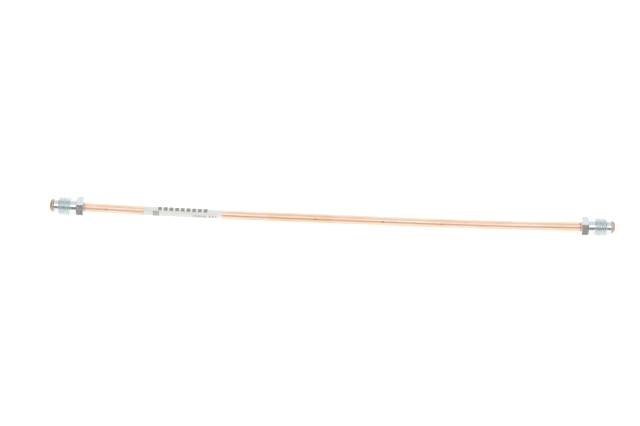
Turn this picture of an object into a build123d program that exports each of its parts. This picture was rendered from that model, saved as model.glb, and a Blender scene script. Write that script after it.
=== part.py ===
from build123d import *
import math
import os

# A short brake line: one copper pipe with a flare formed on each end,
# a loose flare nut behind each flare, and a paper label wrapped round the pipe.
# It lies on its two nuts along X, a little bowed, with its label near the -X end.
# All sizes are in millimetres. Distances along the line are measured from a tip.

# The pipe
line_length = 300.0
pipe_diameter = 4.75
pipe_wall = 0.9
straight_end = 25.0
straight_middle = 80.0
bow_sag = 2.35

# The flare that is folded up from the pipe's own wall
flare_diameter = 6.9
fold_gap = 0.4
fold_depth = 0.55
flare_dome_radius = 2.2
flare_lip = 0.15
flare_rim_length = 0.9
flare_root_fillet = 0.2
flare_edge_fillet = 0.3

# The nut, along its length from the flare to the middle of the line
nut_gap = 0.1
nose_length = 2.3
thread_length = 6.5
neck_length = 3.15
hex_length = 3.65

# The nut, across
nose_diameter = 8.2
thread_diameter = 9.9
neck_undercut = 0.55
hex_flats = 10.0
hex_face_diameter = 10.2
bore_clearance = 0.08

# The nut's broken edges
nose_chamfer = 0.2
thread_lead = 0.6
neck_fillet = 0.25
hex_chamfer_angle = 30.0
hex_corner_allowance = 0.3
bore_front_chamfer = 0.3
bore_back_chamfer = 0.45

# The label
label_start = 49.7
label_length = 41.7
label_thickness = 0.1
label_glue = 0.02
label_overlap_angle = 40.0
label_seam_angle = 285.0

# Worked out for the pipe and its flares
half_length = line_length / 2
pipe_radius = pipe_diameter / 2
pipe_bore_radius = pipe_radius - pipe_wall
flare_radius = flare_diameter / 2
flare_length = 2 * pipe_wall + fold_gap

# Worked out for the nut, as distances from the tip
nose_front = flare_length + nut_gap
thread_front = nose_front + nose_length
thread_back = thread_front + thread_length
hex_front = thread_back + neck_length
hex_back = hex_front + hex_length
nose_radius = nose_diameter / 2
thread_radius = thread_diameter / 2
neck_radius = thread_radius - neck_undercut
nut_bore_radius = pipe_radius + bore_clearance
hex_face_radius = hex_face_diameter / 2
hex_blank_radius = hex_flats / math.sqrt(3) + hex_corner_allowance
hex_chamfer_slope = math.tan(math.radians(hex_chamfer_angle))

# Worked out for the bow, which is two long arcs between the straight ends and the straight middle
middle_end = straight_middle / 2
end_tilt = 2 * math.atan(bow_sag / (half_length - middle_end + straight_end))
tilt_run = math.cos(end_tilt)
tilt_rise = math.sin(end_tilt)

# The line rests on the back edge of the flat under each nut, which is at height 0
tip_height = hex_back * tilt_rise + hex_flats / 2 * tilt_run
middle_height = tip_height - bow_sag


def inward(side):
    """Direction along the line from the tip at that side: +1 is the +X end, -1 the -X end."""
    return Vector(-side * tilt_run, 0, -tilt_rise)


def end_point(side, distance):
    """Point on the straight end's axis, at a distance from the tip."""
    return Vector(side * half_length, 0, tip_height) + inward(side) * distance


def profile_plane(side):
    """Plane through the axis at one end, where x is the distance from the tip and y is the radius."""
    return Plane(origin=end_point(side, 0), x_dir=inward(side), z_dir=(0, side, 0))


def end_axis(side):
    return Axis(end_point(side, 0), inward(side))


def across_end(side, distance):
    """Plane square to the axis, with its x along Y and its normal pointing inward."""
    return Plane(origin=end_point(side, distance), x_dir=(0, 1, 0), z_dir=inward(side))


def middle_point(side):
    """Point on the axis where the straight middle runs into the arc at that side."""
    return (side * middle_end, 0, middle_height)


def pipe_axis():
    """The pipe's axis from the -X tip to the +X tip."""
    with BuildLine() as axis:
        Line(end_point(-1, 0), end_point(-1, straight_end))
        TangentArc(end_point(-1, straight_end), middle_point(-1), tangent=inward(-1))
        Line(middle_point(-1), middle_point(1))
        TangentArc(middle_point(1), end_point(1, straight_end), tangent=(1, 0, 0))
        Line(end_point(1, straight_end), end_point(1, 0))
    return axis.wire()


def flare_section(side):
    """Half section of the flare: a domed front, a short rim and a flat back, filled to the axis."""
    lip = (0, pipe_bore_radius + flare_lip)
    rim_front = (flare_length - flare_rim_length, flare_radius)
    rim_back = (flare_length, flare_radius)
    root = (flare_length, pipe_radius)
    inside_pipe = flare_length + pipe_radius
    with BuildSketch(profile_plane(side)) as section:
        with BuildLine():
            Line((0, 0), lip)
            RadiusArc(lip, rim_front, flare_dome_radius)
            Polyline(rim_front, rim_back, root, (inside_pipe, pipe_radius), (inside_pipe, 0), (0, 0))
        make_face()
        fillet(section.vertices().sort_by_distance(rim_back)[0], flare_edge_fillet)
        fillet(section.vertices().sort_by_distance(root)[0], flare_root_fillet)
    return section.sketch


def fold_section(side):
    """Half section of the wedge of space left inside the flare, between its front and back walls."""
    fold_back = pipe_wall + fold_gap
    with BuildSketch(profile_plane(side)) as section:
        with BuildLine():
            Polyline(
                (pipe_wall, 0),
                (pipe_wall, pipe_bore_radius),
                (fold_back, pipe_bore_radius + fold_depth),
                (fold_back, 0),
                (pipe_wall, 0),
            )
        make_face()
    return section.sketch


def make_pipe(axis):
    tip_plane = across_end(-1, 0)
    with BuildPart() as pipe:
        with BuildSketch(tip_plane):
            Circle(pipe_radius)
        sweep(path=axis)
        for side in (-1, 1):
            revolve(flare_section(side), axis=end_axis(side))
        with BuildSketch(tip_plane):
            Circle(pipe_bore_radius)
        sweep(path=axis, mode=Mode.SUBTRACT)
        for side in (-1, 1):
            revolve(fold_section(side), axis=end_axis(side), mode=Mode.SUBTRACT)
    return pipe


def make_nut(side):
    """A male flare nut: nose, thread at its outer diameter, neck and hexagon on one bored blank.
    The hexagon's corners are chamfered on the side of the neck and square on the other."""
    blank_chamfer = (hex_blank_radius - hex_face_radius) * hex_chamfer_slope
    with BuildPart() as nut:
        with BuildSketch(profile_plane(side)):
            with BuildLine():
                Polyline(
                    (nose_front, nut_bore_radius + bore_front_chamfer),
                    (nose_front, nose_radius - nose_chamfer),
                    (nose_front + nose_chamfer, nose_radius),
                    (thread_front, nose_radius),
                    (thread_front, thread_radius - thread_lead),
                    (thread_front + thread_lead, thread_radius),
                    (thread_back - neck_undercut, thread_radius),
                    (thread_back, neck_radius),
                    (hex_front - neck_fillet, neck_radius),
                )
                RadiusArc(
                    (hex_front - neck_fillet, neck_radius),
                    (hex_front, neck_radius + neck_fillet),
                    -neck_fillet,
                )
                Polyline(
                    (hex_front, neck_radius + neck_fillet),
                    (hex_front, hex_face_radius),
                    (hex_front + blank_chamfer, hex_blank_radius),
                    (hex_back, hex_blank_radius),
                    (hex_back, nut_bore_radius + bore_back_chamfer),
                    (hex_back - bore_back_chamfer, nut_bore_radius),
                    (nose_front + bore_front_chamfer, nut_bore_radius),
                    (nose_front, nut_bore_radius + bore_front_chamfer),
                )
            make_face()
        revolve(axis=end_axis(side))
        with BuildSketch(across_end(side, hex_front)):
            Circle(2 * hex_blank_radius)
            RegularPolygon(radius=hex_flats / 2, side_count=6, major_radius=False, mode=Mode.SUBTRACT)
        extrude(amount=hex_length, mode=Mode.SUBTRACT)
    return nut


def make_label(axis):
    """One turn of paper round the pipe, with its last stretch stuck down over its own start."""
    label_end = label_start + label_length
    run = axis.trim(label_start / axis.length, label_end / axis.length)
    inner_radius = pipe_radius + label_glue
    outer_radius = inner_radius + label_thickness
    overlap_radius = outer_radius + label_thickness
    wall_radius = (inner_radius + outer_radius) / 2
    with BuildPart() as label:
        with BuildSketch(Plane(origin=run @ 0, x_dir=(0, 1, 0), z_dir=run % 0)):
            Circle(outer_radius)
            with BuildLine():
                top = CenterArc((0, 0), overlap_radius, label_seam_angle, label_overlap_angle)
                under = CenterArc((0, 0), wall_radius, label_seam_angle, label_overlap_angle)
                Line(top @ 0, under @ 0)
                Line(top @ 1, under @ 1)
            make_face()
            Circle(inner_radius, mode=Mode.SUBTRACT)
        sweep(path=run)
    return label


line_axis = pipe_axis()
pipe = make_pipe(line_axis)
left_nut = make_nut(-1)
right_nut = make_nut(1)
label = make_label(line_axis)

pipe.part.label = "pipe"
left_nut.part.label = "left_nut"
right_nut.part.label = "right_nut"
label.part.label = "label"

os.makedirs("parts", exist_ok=True)
export_step(pipe.part, "parts/pipe.step")
export_step(left_nut.part, "parts/left_nut.step")
export_step(right_nut.part, "parts/right_nut.step")
export_step(label.part, "parts/label.step")
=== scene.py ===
import math

import bmesh
import bpy
from mathutils import Matrix, Vector


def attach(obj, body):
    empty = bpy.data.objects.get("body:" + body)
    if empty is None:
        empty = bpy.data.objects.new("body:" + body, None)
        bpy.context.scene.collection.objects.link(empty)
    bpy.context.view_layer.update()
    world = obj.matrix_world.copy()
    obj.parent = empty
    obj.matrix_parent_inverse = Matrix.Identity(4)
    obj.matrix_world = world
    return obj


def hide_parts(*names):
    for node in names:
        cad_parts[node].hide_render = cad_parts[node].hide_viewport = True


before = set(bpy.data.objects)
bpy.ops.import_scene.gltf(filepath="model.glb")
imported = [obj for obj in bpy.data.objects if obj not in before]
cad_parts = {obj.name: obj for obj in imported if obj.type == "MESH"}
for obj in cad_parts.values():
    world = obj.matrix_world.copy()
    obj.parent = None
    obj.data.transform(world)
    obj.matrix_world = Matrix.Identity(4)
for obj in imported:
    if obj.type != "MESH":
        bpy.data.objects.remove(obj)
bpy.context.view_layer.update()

mm = 0.001
full_turn = 2 * math.pi

# The line, from tip to tip
line_length = 300 * mm
straight_end = 25 * mm
straight_middle = 80 * mm
bow_sag = 2.35 * mm

# The pipe and the flare folded up from its wall
pipe_radius = 2.375 * mm
pipe_wall = 0.9 * mm
flare_radius = 3.45 * mm
fold_gap = 0.4 * mm
fold_depth = 0.55 * mm
flare_dome_radius = 2.2 * mm
flare_lip = 0.15 * mm
flare_rim = 0.9 * mm
flare_edge_round = 0.3 * mm

# The nut, along its length
nut_gap = 0.1 * mm
nose_length = 2.3 * mm
thread_length = 6.5 * mm
neck_length = 3.15 * mm
hex_length = 3.65 * mm
thread_pitch = 1 * mm

# The nut, across
nose_radius = 4.1 * mm
thread_radius = 4.95 * mm
neck_undercut = 0.55 * mm
thread_flank = math.tan(math.radians(30))
thread_half_crest = thread_pitch / 16
crest_round = 0.03 * mm
root_round = 0.06 * mm
thread_shade_depth = 0.12 * mm
hex_apothem = 5 * mm
hex_face = 5.1 * mm
bore_clearance = 0.08 * mm

# The nut's broken edges
nose_chamfer = 0.2 * mm
thread_lead = 0.6 * mm
neck_fillet = 0.25 * mm
hex_chamfer_slope = math.tan(math.radians(30))
hex_corner_radius = 0.2 * mm
bore_front_chamfer = 0.3 * mm
bore_back_chamfer = 0.45 * mm
broken_edge = 0.06 * mm

# The label
label_start = 49.7 * mm
label_length = 41.7 * mm
paper_thickness = 0.1 * mm
glue_thickness = 0.02 * mm
label_seam = math.radians(285)
label_overlap = math.radians(40)
label_skew = 0.25 * mm
label_climb = math.radians(14)
soiled_width = 0.4 * mm

# Worked out
half_length = line_length / 2
bore_radius = pipe_radius - pipe_wall
flare_length = 2 * pipe_wall + fold_gap
nose_front = flare_length + nut_gap
thread_front = nose_front + nose_length
thread_back = thread_front + thread_length
hex_front = thread_back + neck_length
hex_back = hex_front + hex_length
neck_radius = thread_radius - neck_undercut
nut_bore = pipe_radius + bore_clearance

# Worked out for the hexagon, whose corners are arcs that turn by hex_corner_turn each side of their middle
sixth = math.radians(60)
half_sixth = sixth / 2
hex_corner_reach = hex_apothem / math.cos(half_sixth)
hex_round_centre = (hex_apothem - hex_corner_radius) / math.cos(half_sixth)
hex_straight_half = (hex_apothem - hex_corner_radius) * math.tan(half_sixth)
hex_corner_turn = half_sixth - math.atan(hex_straight_half / hex_apothem)

# Worked out for the bow: a straight middle, two long arcs and a straight end on each side
middle_end = straight_middle / 2
bend_reach = half_length - middle_end
end_tilt = 2 * math.atan(bow_sag / (bend_reach + straight_end))
bow_radius = (bend_reach - straight_end * math.cos(end_tilt)) / math.sin(end_tilt)
tip_height = hex_back * math.sin(end_tilt) + hex_apothem * math.cos(end_tilt)
middle_height = tip_height - bow_sag
pipe_run = 2 * (straight_end + end_tilt * bow_radius + middle_end)


def on_line(run, across, up):
    """Where a point of the straightened line lies once the line has its bow.
    run is measured along the pipe from the left tip."""
    side = -1 if run < pipe_run / 2 else 1
    from_middle = abs(run - pipe_run / 2)
    from_tip = pipe_run / 2 - from_middle
    if from_middle < middle_end:
        tilt, x, z = 0, from_middle, middle_height
    elif from_tip > straight_end:
        tilt = (from_middle - middle_end) / bow_radius
        x = middle_end + bow_radius * math.sin(tilt)
        z = middle_height + bow_radius * (1 - math.cos(tilt))
    else:
        tilt = end_tilt
        x = half_length - from_tip * math.cos(tilt)
        z = tip_height - from_tip * math.sin(tilt)
    return Vector((side * (x - math.sin(tilt) * up), across, z + math.cos(tilt) * up))


def softened(corners):
    """A profile of (distance, radius, softness) corners, with each inner corner turned into five points:
    a small arc, and one more point on each wall beside it that keeps the wall flat."""
    most_of_wall = 0.35
    beside_arc = 0.3
    points = [Vector(corners[0][:2])]
    for before, here, after in zip(corners, corners[1:], corners[2:]):
        corner, softness = Vector(here[:2]), here[2]
        back, ahead = Vector(before[:2]) - corner, Vector(after[:2]) - corner
        cut = min(softness, most_of_wall * back.length, most_of_wall * ahead.length)
        start, end = corner + back.normalized() * cut, corner + ahead.normalized() * cut
        points.append(start + back.normalized() * cut * beside_arc)
        points.append(start)
        points.append((start + 2 * corner + end) / 4)
        points.append(end)
        points.append(end + ahead.normalized() * cut * beside_arc)
    points.append(Vector(corners[-1][:2]))
    return points


def turned_piece(name, angles, column, place):
    """A piece turned round the line. column(angle) gives its closed profile as (distance, radius, edge),
    and place puts a point of it on the straightened line."""
    columns = [column(angle) for angle in angles]
    rings = len(columns[0])
    verts, straight, edges, tips = [], [], [], []
    for angle, points in zip(angles, columns):
        for distance, radius, edge in points:
            run, across, up = place(distance, radius * math.cos(angle), radius * math.sin(angle))
            verts.append(on_line(run, across, up))
            straight.append((run, across, up))
            edges.append(edge)
            tips.append(min(run, pipe_run - run))
    faces = []
    for i in range(len(angles)):
        j = (i + 1) % len(angles)
        for k in range(rings):
            m = (k + 1) % rings
            faces.append((i * rings + k, i * rings + m, j * rings + m, j * rings + k))
    return finished_piece(name, verts, faces, {"straight": straight}, {"edge": edges, "tip": tips})


def finished_piece(name, verts, faces, places, numbers):
    """The mesh object, with what its finish needs to know at each point: places, such as where the point is
    on the straightened line, and numbers, such as how near an edge it is."""
    mesh = bpy.data.meshes.new(name)
    mesh.from_pydata(verts, [], faces)
    for label, values in places.items():
        layer = mesh.attributes.new(label, "FLOAT_VECTOR", "POINT")
        layer.data.foreach_set("vector", [part for place in values for part in place])
    for label, values in numbers.items():
        layer = mesh.attributes.new(label, "FLOAT", "POINT")
        layer.data.foreach_set("value", values)
    shape = bmesh.new()
    shape.from_mesh(mesh)
    bmesh.ops.recalc_face_normals(shape, faces=shape.faces)
    shape.to_mesh(mesh)
    shape.free()
    mesh.shade_smooth()
    piece = bpy.data.objects.new(name, mesh)
    bpy.context.scene.collection.objects.link(piece)
    return piece


# The pipe: its flares, its outside and its bore are one closed skin
def flare_profile():
    """One end of the pipe as (distance, radius, softness) corners, from inside the bore over the dome
    to the back of the flare."""
    fold_back = pipe_wall + fold_gap
    lip = Vector((0, bore_radius + flare_lip))
    rim = Vector((flare_length - flare_rim, flare_radius))
    chord = rim - lip
    rise = math.sqrt(flare_dome_radius ** 2 - (chord.length / 2) ** 2)
    centre = (lip + rim) / 2 + Vector((chord.y, -chord.x)).normalized() * rise
    first = math.atan2(lip.y - centre.y, lip.x - centre.x)
    last = math.atan2(rim.y - centre.y, rim.x - centre.x)
    fold_softness = 0.1 * mm
    throat_softness = 0.15 * mm
    lip_softness = 0.05 * mm
    dome_softness = 0.1 * mm
    root_softness = 0.2 * mm
    dome_steps = 12
    dome = []
    for step in range(dome_steps + 1):
        angle = first + (last - first) * step / dome_steps
        distance = centre.x + flare_dome_radius * math.cos(angle)
        radius = centre.y + flare_dome_radius * math.sin(angle)
        dome.append((distance, radius, dome_softness))
    return [
        (fold_back + pipe_wall, bore_radius, 0),
        (fold_back, bore_radius, fold_softness),
        (fold_back, bore_radius + fold_depth, fold_softness),
        (pipe_wall, bore_radius, throat_softness),
        (0, bore_radius, lip_softness),
        *dome,
        (flare_length, flare_radius, flare_edge_round),
        (flare_length, pipe_radius, root_softness),
        (flare_length + pipe_wall, pipe_radius, 0),
    ]


def make_pipe():
    # The flare's rim is rubbed by the nut, and the finish also lightens it as painted light over the shade of
    # the slot at the nut.
    rim_rubbed_and_lit = flare_radius - 0.1 * mm
    ring_spacing = 2.5 * mm
    end = [(p.x, p.y, 1.0 if p.y > rim_rubbed_and_lit else 0.0) for p in softened(flare_profile())]
    bare = pipe_run - 2 * end[-1][0]
    steps = round(bare / ring_spacing)
    outside = [(end[-1][0] + bare * n / steps, pipe_radius, 0.0) for n in range(1, steps)]
    far_end = [(pipe_run - distance, radius, edge) for distance, radius, edge in reversed(end)]
    bored = pipe_run - 2 * end[0][0]
    bore = [(pipe_run - end[0][0] - bored * n / steps, bore_radius, 0.0) for n in range(1, steps)]
    profile = end + outside + far_end + bore
    sides = 96
    angles = [full_turn * n / sides for n in range(sides)]

    def column(angle):
        return profile

    def place(distance, across, up):
        return distance, across, up

    return turned_piece("drawn_pipe", angles, column, place)


# The nuts
def hex_angles():
    """The angles that a nut's columns stand at, close together at each corner of the hexagon."""
    close = [-1.3, -1, -0.5, 0, 0.5, 1, 1.3]
    steps = 24
    angles = []
    for corner in range(6):
        middle = sixth * corner
        angles += [middle + hex_corner_turn * n for n in close]
        first, last = hex_corner_turn * close[-1], sixth + hex_corner_turn * close[0]
        angles += [middle + first + (last - first) * n / steps for n in range(1, steps)]
    return angles


def hex_radius(angle):
    """Radius of the hexagon at an angle round the line, which starts at a corner. The corners are rounded."""
    from_corner = abs((angle + half_sixth) % sixth - half_sixth)
    if from_corner > hex_corner_turn:
        return hex_apothem / math.cos(half_sixth - from_corner)
    aside = hex_round_centre * math.sin(from_corner)
    return hex_round_centre * math.cos(from_corner) + math.sqrt(hex_corner_radius ** 2 - aside ** 2)


def thread_surface(distance, angle):
    """Radius of the right-hand thread at a distance from the tip, with its lead chamfer and its run-out,
    and how close to its crest that is."""
    turn = (distance / thread_pitch - angle / full_turn) % 1.0
    from_crest = min(turn, 1 - turn) * thread_pitch
    flank = (from_crest - thread_half_crest) / thread_flank
    cut = (flank + math.hypot(flank, crest_round)) / 2
    cut = (cut + neck_undercut - math.hypot(cut - neck_undercut, root_round)) / 2
    lead = thread_radius - thread_lead + (distance - thread_front)
    run_out = neck_radius + (thread_back - distance)
    radius = min(thread_radius - cut, lead, run_out)
    # Nearness to the crest, which the finish uses to darken the roots as painted shade.
    crest = max(0.0, 1 - (thread_radius - radius) / thread_shade_depth)
    return radius, crest


def nut_column(angle):
    """The nut's closed profile at one angle: bore, nose, thread, neck and hexagon."""
    flat = hex_radius(angle)
    face = min(hex_face, flat - broken_edge)
    chamfer_length = max(flat - hex_face, broken_edge) * hex_chamfer_slope
    nose = softened([
        (nose_front + nose_length, nut_bore, 0),
        (nose_front + bore_front_chamfer, nut_bore, broken_edge),
        (nose_front, nut_bore + bore_front_chamfer, broken_edge),
        (nose_front, nose_radius - nose_chamfer, broken_edge),
        (nose_front + nose_chamfer, nose_radius, broken_edge),
        (thread_front, nose_radius, broken_edge),
        (thread_front, thread_surface(thread_front, angle)[0], 0),
    ])
    cuts_per_pitch = 20
    steps = round(thread_length / thread_pitch * cuts_per_pitch)
    thread = []
    for n in range(1, steps + 1):
        distance = thread_front + thread_length * n / steps
        # The thread's third value is its nearness to the crest, which the finish uses for painted shade in
        # the roots.
        radius, crest = thread_surface(distance, angle)
        thread.append((distance, radius, crest))
    fillet_steps = 6
    neck = []
    for n in range(fillet_steps + 1):
        turn = full_turn / 4 * n / fillet_steps
        neck.append((
            hex_front - neck_fillet + neck_fillet * math.sin(turn),
            neck_radius + neck_fillet - neck_fillet * math.cos(turn),
            0.0,
        ))
    past_fillet = neck_radius + 1.2 * neck_fillet
    hexagon = softened([
        (hex_front, past_fillet, 0),
        (hex_front, face, broken_edge),
        (hex_front + chamfer_length, flat, broken_edge),
        (hex_back, flat, broken_edge),
        (hex_back, nut_bore + bore_back_chamfer, broken_edge),
        (hex_back - bore_back_chamfer, nut_bore, broken_edge),
        (hex_back - hex_length, nut_bore, 0),
    ])
    points = [(p.x, p.y, 0.0) for p in nose] + thread + neck
    # The hexagon's rubbed points: the end of its chamfer, its back edge, and those between them at a corner
    chamfer_edge, back_edge, between_them = range(7, 10), range(12, 15), range(10, 14)
    corner_band = 0.05 * mm
    at_corner = flat > hex_corner_reach - corner_band
    for n, p in enumerate(hexagon):
        is_edge = n in chamfer_edge or n in back_edge or (at_corner and n in between_them)
        points.append((p.x, p.y, 1.0 if is_edge else 0.0))
    return points


def make_nut(name, side):
    """A flare nut at the tip on that side: +1 is the +X end, -1 the -X end."""

    def place(distance, across, up):
        if side < 0:
            return distance, across, up
        return pipe_run - distance, -across, up

    return turned_piece(name, hex_angles(), nut_column, place)


# The label: a strip of paper wrapped once round the pipe and over its own start
def make_label():
    """A strip wrapped a little askew, so that its two sides step apart where it laps over its own start.
    They stand at their measured places when the strip is square_at of the way round."""
    inner = pipe_radius + glue_thickness
    steps_round, steps_along = 160, 56
    total_turn = full_turn + label_overlap
    square_at = 0.6
    verts, straight, wraps, edges = [], [], [], []
    for face in (1, 0):
        for i in range(steps_round + 1):
            turn = total_turn * i / steps_round
            rise = min(1.0, max(0.0, (turn - full_turn + label_climb) / label_climb))
            rise = rise * rise * (3 - 2 * rise)
            radius = inner + paper_thickness * (face + rise)
            for k in range(steps_along + 1):
                share = k / steps_along
                run = label_start + label_length * share + label_skew * (turn / total_turn - square_at)
                angle = label_seam + turn
                across, up = radius * math.cos(angle), radius * math.sin(angle)
                verts.append(on_line(run, across, up))
                straight.append((run, across, up))
                wraps.append((label_length * share / mm, inner * turn / mm, 0))
                near = min(share, 1 - share) * label_length
                near = min(near, (total_turn - turn) * inner, turn * inner)
                edges.append(max(0.0, 1 - near / soiled_width))
    row = steps_along + 1
    layer = row * (steps_round + 1)
    faces = []
    for i in range(steps_round):
        for k in range(steps_along):
            a = i * row + k
            b, c, d = a + 1, a + row + 1, a + row
            faces.append((a, b, c, d))
            faces.append((layer + a, layer + d, layer + c, layer + b))
        for k in (0, steps_along):
            a, b = i * row + k, (i + 1) * row + k
            faces.append((a, b, layer + b, layer + a))
    for k in range(steps_along):
        for i in (0, steps_round):
            a, b = i * row + k, i * row + k + 1
            faces.append((a, b, layer + b, layer + a))
    places = {"straight": straight, "wrap": wraps}
    piece = finished_piece("wrapped_label", verts, faces, places, {"edge": edges})
    piece.data.set_sharp_from_angle(angle=math.radians(50))
    return piece


# Finishes
class Nodes:
    """A shorthand for laying out one node tree from left to right."""

    def __init__(self, tree):
        self.tree = tree
        self.count = 0

    def add(self, kind, **settings):
        row, column = divmod(self.count, 8)
        node = self.tree.nodes.new(kind)
        node.location = (180 * column - 900, 300 - 220 * row)
        self.count += 1
        inputs = settings.pop("inputs", {})
        for name, value in settings.items():
            setattr(node, name, value)
        for socket, value in inputs.items():
            if isinstance(value, bpy.types.NodeSocket):
                self.tree.links.new(value, node.inputs[socket])
            else:
                node.inputs[socket].default_value = value
        return node

    def math(self, operation, first, second=0.0):
        return self.add("ShaderNodeMath", operation=operation, inputs={0: first, 1: second}).outputs[0]

    def times(self, first, second):
        return self.math("MULTIPLY", first, second)

    def plus(self, first, second):
        return self.math("ADD", first, second)

    def larger(self, first, second):
        return self.math("MAXIMUM", first, second)

    def vector_math(self, operation, first, second=(0, 0, 0)):
        return self.add("ShaderNodeVectorMath", operation=operation, inputs={0: first, 1: second})

    def ramp(self, value, low, high, out_low=0.0, out_high=1.0):
        """The value stretched from low and high to out_low and out_high, held inside them, with soft ends."""
        made = self.add(
            "ShaderNodeMapRange",
            interpolation_type="SMOOTHSTEP",
            inputs={"Value": value, "From Min": low, "From Max": high, "To Min": out_low, "To Max": out_high},
        )
        return made.outputs["Result"]

    def between(self, value, start, end, soft):
        """1 where the value lies from start to end, fading out over a soft width on each side."""
        return self.times(self.ramp(value, start - soft, start), self.ramp(value, end + soft, end))

    def blend(self, share, first, second):
        made = self.add("ShaderNodeMix", data_type="RGBA", inputs={0: share, 6: first, 7: second})
        return made.outputs[2]

    def noise(self, place, scale, detail):
        made = self.add("ShaderNodeTexNoise", inputs={"Vector": place, "Scale": scale, "Detail": detail})
        return made.outputs["Fac"]

    def parts(self, vector):
        """The three parts of a place."""
        return list(self.add("ShaderNodeSeparateXYZ", inputs={0: vector}).outputs)

    def attribute(self, name, output):
        return self.add("ShaderNodeAttribute", attribute_name=name).outputs[output]

    def mask(self, group, **inputs):
        """The mask that one of the effects gives with these values."""
        return self.add("ShaderNodeGroup", node_tree=group, inputs=inputs).outputs["Mask"]


def effect(name, inputs):
    """An empty node group that gives a mask, with its named inputs, its Nodes and its two ends."""
    tree = bpy.data.node_groups.new(name, "ShaderNodeTree")
    for socket, kind, value in inputs:
        made = tree.interface.new_socket(socket, in_out="INPUT", socket_type=kind)
        if value is not None:
            made.default_value = value
    tree.interface.new_socket("Mask", in_out="OUTPUT", socket_type="NodeSocketFloat")
    nodes = Nodes(tree)
    start, end = nodes.add("NodeGroupInput"), nodes.add("NodeGroupOutput")
    return tree, nodes, start.outputs, end.inputs


spot_core = 0.3   # the share of a spot's reach that is at full strength


def make_streaks():
    """Noise stretched as asked: long for drawn lines, flat for turning marks, even for clouds and fibres."""
    tree, nodes, given, out = effect(
        "streaks",
        [
            ("Place", "NodeSocketVector", None),
            ("Scale", "NodeSocketVector", (1000, 1000, 1000)),
            ("Detail", "NodeSocketFloat", 3.0),
            ("Low", "NodeSocketFloat", 0.35),
            ("High", "NodeSocketFloat", 0.65),
        ],
    )
    scaled = nodes.vector_math("MULTIPLY", given["Place"], given["Scale"]).outputs[0]
    noise = nodes.noise(scaled, 1.0, given["Detail"])
    tree.links.new(nodes.ramp(noise, given["Low"], given["High"]), out["Mask"])
    return tree


def make_specks():
    """Small scattered spots of uneven size, such as handling marks, pinholes and paper flecks."""
    tree, nodes, given, out = effect(
        "specks",
        [
            ("Place", "NodeSocketVector", None),
            ("Spacing", "NodeSocketFloat", 2.0),
            ("Size", "NodeSocketFloat", 0.12),
            ("Share", "NodeSocketFloat", 0.3),
        ],
    )
    per_metre = nodes.math("DIVIDE", 1000.0, given["Spacing"])
    cells = nodes.add("ShaderNodeTexVoronoi", inputs={"Vector": given["Place"], "Scale": per_metre})
    colour = nodes.add("ShaderNodeSeparateColor", inputs={0: cells.outputs["Color"]})
    kept = nodes.math("LESS_THAN", colour.outputs[0], given["Share"])
    reach = nodes.times(colour.outputs[1], given["Size"])
    spot = nodes.ramp(cells.outputs["Distance"], reach, nodes.times(reach, spot_core))
    tree.links.new(nodes.times(spot, kept), out["Mask"])
    return tree


def make_worn_edge():
    """Where an edge has been rubbed, broken up so that no edge is worn evenly."""
    tree, nodes, given, out = effect(
        "worn_edge",
        [
            ("Edge", "NodeSocketFloat", 0.0),
            ("Place", "NodeSocketVector", None),
            ("Breakup", "NodeSocketFloat", 900.0),
            ("Amount", "NodeSocketFloat", 0.6),
        ],
    )
    broken = nodes.ramp(nodes.noise(given["Place"], given["Breakup"], 2.0), 0.3, 0.6)
    rubbed = nodes.times(given["Edge"], broken)
    tree.links.new(nodes.times(rubbed, given["Amount"]), out["Mask"])
    return tree


def make_placed_spot():
    """One small mark at a given place, a little longer along the line than across it."""
    tree, nodes, given, out = effect(
        "placed_spot",
        [
            ("Place", "NodeSocketVector", None),
            ("Centre", "NodeSocketVector", (0, 0, 0)),
            ("Reach", "NodeSocketFloat", 0.0005),
            ("Amount", "NodeSocketFloat", 1.0),
        ],
    )
    longer_along = (0.6, 1, 1)
    away = nodes.vector_math("SUBTRACT", given["Place"], given["Centre"]).outputs[0]
    stretched = nodes.vector_math("MULTIPLY", away, longer_along).outputs[0]
    distance = nodes.vector_math("LENGTH", stretched).outputs["Value"]
    spot = nodes.ramp(distance, given["Reach"], nodes.times(given["Reach"], spot_core))
    tree.links.new(nodes.times(spot, given["Amount"]), out["Mask"])
    return tree


def make_dashed_bar():
    """A plain printed bar on the label, cut into even dashes.
    Its sizes are in millimetres along and round the strip."""
    tree, nodes, given, out = effect(
        "dashed_bar",
        [
            ("Place", "NodeSocketVector", None),
            ("Start", "NodeSocketFloat", 0.0),
            ("Length", "NodeSocketFloat", 10.0),
            ("Round", "NodeSocketFloat", 5.0),
            ("Height", "NodeSocketFloat", 2.0),
            ("Dash", "NodeSocketFloat", 2.0),
            ("Filled", "NodeSocketFloat", 0.8),
        ],
    )
    x, y = nodes.parts(given["Place"])[:2]
    along = nodes.math("SUBTRACT", x, given["Start"])
    from_middle = nodes.math("ABSOLUTE", nodes.math("SUBTRACT", y, given["Round"]))
    after_start = nodes.math("GREATER_THAN", along, 0.0)
    before_end = nodes.math("LESS_THAN", along, given["Length"])
    in_height = nodes.math("LESS_THAN", from_middle, nodes.times(given["Height"], 0.5))
    in_one_dash = nodes.math("FRACT", nodes.math("DIVIDE", along, given["Dash"]))
    in_dash = nodes.math("LESS_THAN", in_one_dash, given["Filled"])
    inside = nodes.times(nodes.times(after_start, before_end), in_height)
    tree.links.new(nodes.times(inside, in_dash), out["Mask"])
    return tree


streaks = make_streaks()
specks = make_specks()
worn_edge = make_worn_edge()
placed_spot = make_placed_spot()
dashed_bar = make_dashed_bar()


def new_finish(name, **shader):
    """A material with one Principled shader, its uniform values set on the shader's own sockets."""
    material = bpy.data.materials.new(name)
    material.use_nodes = True
    tree = material.node_tree
    tree.nodes.clear()
    nodes = Nodes(tree)
    surface = nodes.add("ShaderNodeBsdfPrincipled")
    end = nodes.add("ShaderNodeOutputMaterial", inputs={"Surface": surface.outputs[0]})
    surface.location, end.location = (700, 300), (1000, 300)
    for socket, value in shader.items():
        surface.inputs[socket.replace("_", " ")].default_value = value
    return material, nodes, surface


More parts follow.
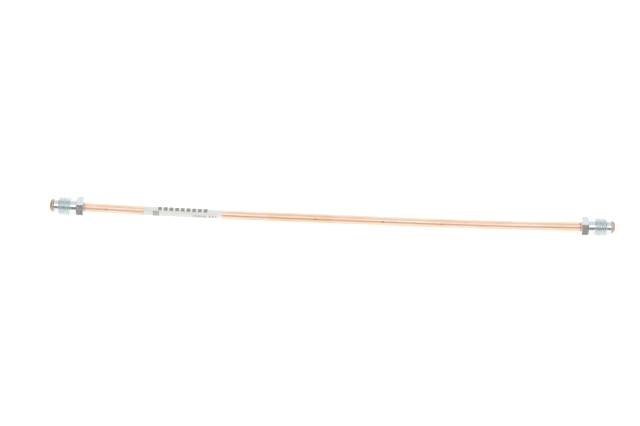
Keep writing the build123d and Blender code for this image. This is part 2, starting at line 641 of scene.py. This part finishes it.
def dress(nodes, surface, colour, roughness, bumps):
    """Joins a finish's colour, roughness and bumps to its shader.
    Each bump is a height and how tall it is in metres."""
    nodes.tree.links.new(colour, surface.inputs["Base Color"])
    nodes.tree.links.new(roughness, surface.inputs["Roughness"])
    normal = None
    for height, tall in bumps:
        inputs = {"Height": height, "Distance": tall, "Strength": 1.0}
        if normal:
            inputs["Normal"] = normal
        normal = nodes.add("ShaderNodeBump", inputs=inputs).outputs[0]
    nodes.tree.links.new(normal, surface.inputs["Normal"])


def drawn_copper():
    """Copper drawn through a die: lines along it, a faint tarnish in patches, redder stretches, a few spots,
    a ring of painted shade behind each nut, and flares that are browner at the left tip than at the right,
    whose rubbed rims also carry painted light over the shade of the slot at the nut, most at the right."""
    bright = (0.94, 0.72, 0.59, 1)
    dull = (0.90, 0.64, 0.49, 1)
    red_bright = (0.91, 0.64, 0.475, 1)
    red_dull = (0.87, 0.545, 0.39, 1)
    line_tone = (0.82, 0.52, 0.38, 1)
    fleck_tone = (0.42, 0.24, 0.17, 1)
    spot_tone = (0.35, 0.20, 0.14, 1)
    # The ring tone is painted shade on the pipe behind each nut.
    painted_shade_ring_tone = (0.40, 0.27, 0.21, 1)
    left_flare = (0.60, 0.42, 0.32, 1)
    left_flare_dull = (0.50, 0.33, 0.24, 1)
    # The rubbed rim tones are worn copper that is also lightened as painted light, most at the right tip.
    left_flare_rubbed_and_lit = (0.78, 0.55, 0.42, 1)
    right_flare = (0.70, 0.55, 0.48, 1)
    right_flare_dull = (0.58, 0.43, 0.37, 1)
    right_flare_rubbed_and_lit = (0.84, 0.70, 0.63, 1)

    # In millimetres from the left tip: the start and end of each redder stretch and how red it is,
    # and the place of each dark spot and how dark it is
    redder_stretches = ((98, 107, 0.35), (119, 147, 1.0), (160, 170, 0.3), (203, 209, 0.35), (262, 280, 0.5))
    redder_fade = 6 * mm
    dark_spots = ((30, 0.4), (141, 0.45), (177, 0.6), (208, 0.4))
    spot_across, spot_up = -0.8 * pipe_radius, 0.6 * pipe_radius
    spot_reach = 0.7 * mm
    ring_start, ring_end, ring_fade = hex_back + 0.4 * mm, hex_back + 0.6 * mm, 0.25 * mm
    flare_tone_start, flare_tone_end = 4.5 * mm, nose_front

    material, nodes, surface = new_finish("drawn_copper", Metallic=1.0)
    place = nodes.attribute("straight", "Vector")
    run = nodes.parts(place)[0]
    tip = nodes.attribute("tip", "Fac")
    edge = nodes.attribute("edge", "Fac")
    lines = nodes.mask(streaks, Place=place, Scale=(40, 5200, 5200), Detail=4.0, Low=0.3, High=0.7)
    patches = nodes.mask(streaks, Place=place, Scale=(55, 260, 260), Detail=3.0, Low=0.35, High=0.75)
    waves = nodes.mask(streaks, Place=place, Scale=(70, 150, 150), Detail=1.0, Low=0.1, High=0.9)
    flecks = nodes.mask(specks, Place=place, Spacing=4.0, Size=0.09, Share=0.25)
    rubbed = nodes.mask(worn_edge, Edge=edge, Place=place, Breakup=1200.0, Amount=0.5)

    redder = 0.0
    for start, end, amount in redder_stretches:
        stretch = nodes.between(run, start * mm, end * mm, redder_fade)
        redder = nodes.larger(redder, nodes.times(stretch, amount))
    tarnish = nodes.times(patches, 0.6)
    plain_tone = nodes.blend(tarnish, bright, dull)
    red_tone = nodes.blend(tarnish, red_bright, red_dull)
    colour = nodes.blend(redder, plain_tone, red_tone)
    colour = nodes.blend(nodes.times(lines, 0.25), colour, line_tone)
    colour = nodes.blend(nodes.times(flecks, 0.55), colour, fleck_tone)
    for spot_run, amount in dark_spots:
        centre = (spot_run * mm, spot_across, spot_up)
        spot = nodes.mask(placed_spot, Place=place, Centre=centre, Reach=spot_reach, Amount=amount)
        colour = nodes.blend(spot, colour, spot_tone)

    # The flare rims are partly wear and partly painted light over the shade of the slot between flare and
    # nut, paler at the right tip.
    left_tone = nodes.blend(rubbed, nodes.blend(patches, left_flare, left_flare_dull), left_flare_rubbed_and_lit)
    right_tone = nodes.blend(rubbed, nodes.blend(patches, right_flare, right_flare_dull), right_flare_rubbed_and_lit)
    at_right = nodes.math("GREATER_THAN", run, pipe_run / 2)
    flare = nodes.ramp(tip, flare_tone_start, flare_tone_end)
    colour = nodes.blend(flare, colour, nodes.blend(at_right, left_tone, right_tone))
    # A ring of painted shade on the pipe just behind each nut's back, where the nut keeps light off the pipe.
    painted_shade_ring = nodes.between(tip, ring_start, ring_end, ring_fade)
    colour = nodes.blend(nodes.times(painted_shade_ring, 0.45), colour, painted_shade_ring_tone)

    roughness = nodes.plus(nodes.ramp(patches, 0.0, 1.0, 0.38, 0.46), nodes.times(lines, 0.05))
    roughness = nodes.plus(roughness, nodes.times(flare, 0.1))
    dress(nodes, surface, colour, roughness, [(lines, 0.0015 * mm), (waves, 0.02 * mm)])
    return material


def zinc_plate():
    """Bright zinc with a faint blue cast, over the turning marks of the steel underneath.
    The thread is bluer and duller than the rest, with painted shade darkening its roots."""
    clear = (0.81, 0.805, 0.80, 1)
    clouded = (0.73, 0.75, 0.76, 1)
    thread_root_painted_shade = (0.69, 0.75, 0.76, 1)
    thread_crest = (0.905, 0.94, 0.94, 1)
    grain_tone = (0.60, 0.62, 0.62, 1)
    pit_tone = (0.45, 0.46, 0.46, 1)
    rubbed_tone = (0.88, 0.88, 0.87, 1)
    thread_start, thread_end, thread_fade = thread_front + 0.3 * mm, thread_back - 0.4 * mm, 0.4 * mm

    material, nodes, surface = new_finish("zinc_plate", Metallic=1.0)
    place = nodes.attribute("straight", "Vector")
    edge = nodes.attribute("edge", "Fac")
    tip = nodes.attribute("tip", "Fac")
    run, across, up = nodes.parts(place)
    radius = nodes.math("SQRT", nodes.plus(nodes.times(across, across), nodes.times(up, up)))
    turned = nodes.add("ShaderNodeCombineXYZ", inputs={0: run, 1: radius}).outputs[0]
    rings = nodes.mask(streaks, Place=turned, Scale=(9000, 9000, 1), Detail=2.0, Low=0.25, High=0.75)
    clouds = nodes.mask(streaks, Place=place, Scale=(420, 420, 420), Detail=3.0, Low=0.35, High=0.7)
    grain = nodes.mask(streaks, Place=place, Scale=(7000, 7000, 7000), Detail=2.0, Low=0.3, High=0.7)
    pits = nodes.mask(specks, Place=place, Spacing=0.9, Size=0.12, Share=0.2)
    rubbed = nodes.mask(worn_edge, Edge=edge, Place=place, Breakup=1500.0, Amount=0.7)
    along_thread = nodes.between(tip, thread_start, thread_end, thread_fade)
    outside_bore = nodes.ramp(radius, nut_bore + 1 * mm, neck_radius - 0.1 * mm)
    thread = nodes.times(along_thread, outside_bore)

    colour = nodes.blend(clouds, clear, clouded)
    # On the thread, edge is the nearness to the crest, and the roots get painted shade.
    colour = nodes.blend(thread, colour, nodes.blend(edge, thread_root_painted_shade, thread_crest))
    colour = nodes.blend(nodes.times(grain, 0.15), colour, grain_tone)
    colour = nodes.blend(nodes.times(pits, 0.5), colour, pit_tone)
    off_thread = nodes.math("SUBTRACT", 1.0, thread)
    colour = nodes.blend(nodes.times(rubbed, off_thread), colour, rubbed_tone)

    roughness = nodes.plus(nodes.ramp(clouds, 0.0, 1.0, 0.13, 0.21), nodes.times(grain, 0.05))
    roughness = nodes.plus(roughness, nodes.times(thread, 0.16))
    dress(nodes, surface, colour, roughness, [(rings, 0.0012 * mm), (grain, 0.0008 * mm)])
    return material


def label_paper():
    """Pale matt label paper with fine fibres, faint creases, soiled edges, one folded corner lit by a painted
    highlight and plain printed bars."""
    clear = (0.91, 0.88, 0.845, 1)
    clouded = (0.87, 0.845, 0.815, 1)
    fibre_tone = (0.62, 0.61, 0.59, 1)
    fleck_tone = (0.45, 0.44, 0.42, 1)
    soiled_tone = (0.55, 0.52, 0.48, 1)
    folded_corner_highlight = (1.0, 0.95, 0.91, 1)
    ink = (0.22, 0.195, 0.17, 1)
    # In millimetres: the corner is folded, and given a painted highlight, where the places along and round
    # the strip add up to this
    fold_start, fold_end = 48.0, 48.6

    material, nodes, surface = new_finish("label_paper", Specular_IOR_Level=0.35)
    place = nodes.attribute("straight", "Vector")
    wrap = nodes.attribute("wrap", "Vector")
    edge = nodes.attribute("edge", "Fac")
    fibres = nodes.mask(streaks, Place=place, Scale=(2600, 6000, 6000), Detail=4.0, Low=0.3, High=0.7)
    clouds = nodes.mask(streaks, Place=place, Scale=(160, 300, 300), Detail=2.0, Low=0.3, High=0.7)
    creases = nodes.mask(streaks, Place=place, Scale=(90, 420, 420), Detail=1.0, Low=0.2, High=0.8)
    flecks = nodes.mask(specks, Place=place, Spacing=1.6, Size=0.08, Share=0.15)
    soiled = nodes.mask(worn_edge, Edge=edge, Place=place, Breakup=1400.0, Amount=0.6)
    along, around = nodes.parts(wrap)[:2]
    fold_and_highlight = nodes.ramp(nodes.plus(along, around), fold_start, fold_end)

    heading_bar = {"Start": 7.7, "Length": 27.1, "Round": 6.3, "Height": 3.3, "Dash": 3.02, "Filled": 0.64}
    block_bar = {"Start": 5.0, "Length": 3.3, "Round": 10.0, "Height": 3.4, "Dash": 0.85, "Filled": 0.72}
    small_bar = {"Start": 26.3, "Length": 6.9, "Round": 10.2, "Height": 1.1, "Dash": 1.0, "Filled": 0.75}
    end_bar = {"Start": 34.8, "Length": 4.0, "Round": 10.2, "Height": 1.1, "Dash": 1.6, "Filled": 0.55}
    printed = 0.0
    for bar, amount in ((heading_bar, 1.0), (block_bar, 0.9), (small_bar, 0.65), (end_bar, 0.65)):
        printed = nodes.larger(printed, nodes.times(nodes.mask(dashed_bar, Place=wrap, **bar), amount))
    printed = nodes.times(printed, nodes.ramp(fibres, 0.0, 1.0, 0.9, 0.7))

    colour = nodes.blend(clouds, clear, clouded)
    colour = nodes.blend(nodes.times(fibres, 0.12), colour, fibre_tone)
    colour = nodes.blend(nodes.times(flecks, 0.4), colour, fleck_tone)
    colour = nodes.blend(soiled, colour, soiled_tone)
    # The folded corner is made lighter: a painted highlight.
    colour = nodes.blend(nodes.times(fold_and_highlight, 0.8), colour, folded_corner_highlight)
    colour = nodes.blend(printed, colour, ink)
    roughness = nodes.ramp(fibres, 0.0, 1.0, 0.5, 0.62)
    bumps = [(fibres, 0.002 * mm), (creases, 0.05 * mm), (fold_and_highlight, 0.06 * mm)]
    dress(nodes, surface, colour, roughness, bumps)
    return material


def put_on(piece, material):
    piece.data.materials.clear()
    piece.data.materials.append(material)


copper = drawn_copper()
zinc = zinc_plate()
paper = label_paper()

pipe = make_pipe()
put_on(pipe, copper)
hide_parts("pipe")
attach(pipe, "pipe")

for name, side in (("left", -1), ("right", 1)):
    nut = make_nut(name + "_flare_nut", side)
    put_on(nut, zinc)
    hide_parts(name + "_nut")
    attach(nut, name + "_nut")

label = make_label()
put_on(label, paper)
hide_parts("label")
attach(label, "pipe")


# The floor, the light and the camera
def make_floor():
    half = 2500 * mm
    corners = [(-half, -half, 0), (half, -half, 0), (half, half, 0), (-half, half, 0)]
    mesh = bpy.data.meshes.new("floor")
    mesh.from_pydata(corners, [], [(0, 1, 2, 3)])
    floor = bpy.data.objects.new("floor", mesh)
    bpy.context.scene.collection.objects.link(floor)
    material, nodes, surface = new_finish(
        "white_floor",
        Base_Color=(0.45, 0.45, 0.45, 1),
        Roughness=0.9,
        Specular_IOR_Level=0.0,
        Emission_Color=(1, 1, 1, 1),
        Emission_Strength=0.85,
    )
    put_on(floor, material)


def soft_panel(name, angle, spread, distance, length, brightness, tint):
    """A long soft light over the line, in metres and degrees. angle goes from the horizon on the
    camera's side, up and over to the back, and spread is how wide the line sees the light."""
    direction = Vector((0, -math.cos(math.radians(angle)), math.sin(math.radians(angle))))
    width = 2 * distance * math.tan(math.radians(spread / 2))
    light = bpy.data.lights.new(name, "AREA")
    light.shape = "RECTANGLE"
    light.size, light.size_y = length, width
    light.energy = brightness * math.pi * length * width
    light.color = tint
    panel = bpy.data.objects.new(name, light)
    panel.location = direction * distance
    panel.rotation_mode = "QUATERNION"
    panel.rotation_quaternion = direction.to_track_quat("Z", "Y")
    panel.visible_camera = False
    bpy.context.scene.collection.objects.link(panel)


def make_room():
    """The dim room round the line, seen white by the camera itself."""
    world = bpy.data.worlds.new("room")
    bpy.context.scene.world = world
    world.use_nodes = True
    tree = world.node_tree
    tree.nodes.clear()
    nodes = Nodes(tree)
    path = nodes.add("ShaderNodeLightPath")
    dim = nodes.add("ShaderNodeBackground", inputs={"Color": (1.0, 0.96, 0.91, 1), "Strength": 0.26})
    white = nodes.add("ShaderNodeBackground", inputs={"Color": (1, 1, 1, 1), "Strength": 1.1})
    to_camera = path.outputs["Is Camera Ray"]
    shown = nodes.add("ShaderNodeMixShader", inputs={0: to_camera, 1: dim.outputs[0], 2: white.outputs[0]})
    nodes.add("ShaderNodeOutputWorld", inputs={"Surface": shown.outputs[0]})


def make_camera():
    """A long lens that looks down on the line from in front, rolled a little so that the line drops
    to the right."""
    elevation = math.radians(50)
    distance = 750 * mm
    roll = math.radians(2.26)
    aim = Vector((-6.71 * mm, 3.15 * mm, 4 * mm))
    back = Vector((0, -math.cos(elevation), math.sin(elevation)))
    data = bpy.data.cameras.new("camera")
    data.sensor_width = 36
    data.lens = 79.06
    data.clip_start, data.clip_end = 0.01, 20
    camera = bpy.data.objects.new("camera", data)
    camera.rotation_mode = "QUATERNION"
    looking = (-back).to_track_quat("-Z", "Y")
    camera.rotation_quaternion = looking @ Matrix.Rotation(roll, 4, "Z").to_quaternion()
    camera.location = aim + back * distance
    bpy.context.scene.collection.objects.link(camera)
    bpy.context.scene.camera = camera


make_floor()
warm = (1.0, 0.98, 0.95)
cool = (0.92, 0.965, 1.0)
coolest = (0.87, 0.965, 1.0)
cool_sweep = (0.92, 0.955, 1.0)
soft_panel("front_card", angle=3, spread=6, distance=1.6, length=3.0, brightness=0.9, tint=warm)
soft_panel("overhead_box", angle=57, spread=26, distance=1.3, length=2.8, brightness=1.8, tint=cool)
soft_panel("ceiling", angle=102, spread=52, distance=1.3, length=3.2, brightness=0.64, tint=coolest)
soft_panel("back_sweep", angle=153, spread=47, distance=1.5, length=3.4, brightness=1.19, tint=cool_sweep)
make_room()
make_camera()
bpy.context.scene.view_settings.view_transform = "Standard"
